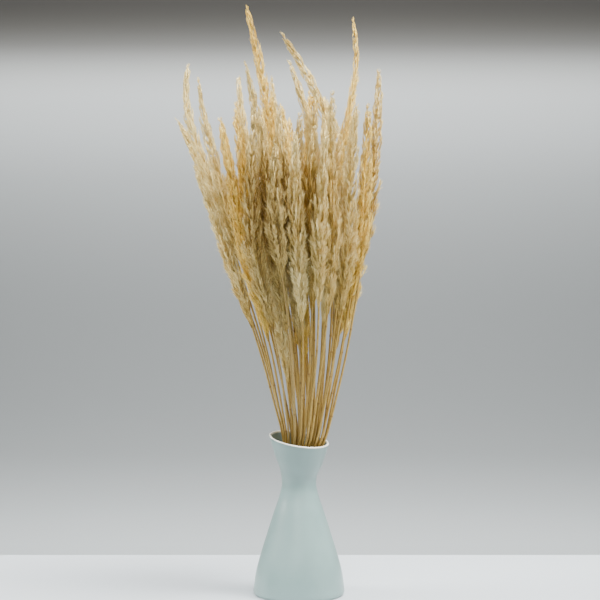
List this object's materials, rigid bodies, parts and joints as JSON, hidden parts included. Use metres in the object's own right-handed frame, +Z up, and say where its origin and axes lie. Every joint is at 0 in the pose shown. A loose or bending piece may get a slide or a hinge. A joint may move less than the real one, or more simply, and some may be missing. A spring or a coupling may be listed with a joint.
{
  "type": "dried wood small-reed bunch in a vase",
  "caption": "Tall loose bunch of dried wood small-reed with long feathery plumes, standing in an hourglass-shaped glazed vase with a slanted flared mouth.",
  "frame": {"origin": "middle of the vase's underside, on the surface it stands on", "axes": "+Z up, -Y towards the viewer of the picture, so +X is to the right; the vase's mouth slants down towards the viewer's right"},
  "size_m": [0.2553, 0.2222, 0.7151],
  "materials": {
    "glaze": "satin",
    "straw_pale": "matte",
    "straw_gold": "matte",
    "straw_tan": "matte"
  },
  "bodies": {
    "root": {"vase": "glaze", "reed_01": "straw_gold", "reed_02": "straw_pale", "reed_03": "straw_gold", "reed_04": "straw_pale", "reed_05": "straw_pale", "reed_06": "straw_pale", "reed_07": "straw_pale", "reed_08": "straw_pale", "reed_09": "straw_tan", "reed_10": "straw_pale", "reed_11": "straw_gold", "reed_12": "straw_tan", "reed_13": "straw_gold", "reed_14": "straw_pale", "reed_15": "straw_gold", "reed_16": "straw_gold", "reed_17": "straw_gold", "reed_18": "straw_gold", "reed_19": "straw_gold", "reed_20": "straw_gold", "reed_21": "straw_gold", "reed_22": "straw_tan", "reed_23": "straw_pale", "reed_24": "straw_pale", "reed_25": "straw_gold", "reed_26": "straw_tan", "reed_27": "straw_tan", "reed_28": "straw_pale", "reed_29": "straw_pale", "reed_30": "straw_tan", "reed_31": "straw_gold", "reed_32": "straw_pale", "reed_33": "straw_gold", "reed_34": "straw_pale", "reed_35": "straw_pale", "reed_36": "straw_gold", "reed_37": "straw_pale", "reed_38": "straw_gold", "reed_39": "straw_pale", "reed_40": "straw_pale", "reed_41": "straw_gold", "reed_42": "straw_gold", "reed_43": "straw_pale", "reed_44": "straw_pale", "reed_45": "straw_pale", "reed_46": "straw_pale", "reed_47": "straw_pale", "reed_48": "straw_gold", "reed_49": "straw_pale", "reed_50": "straw_gold"}
  },
  "joints": []
}
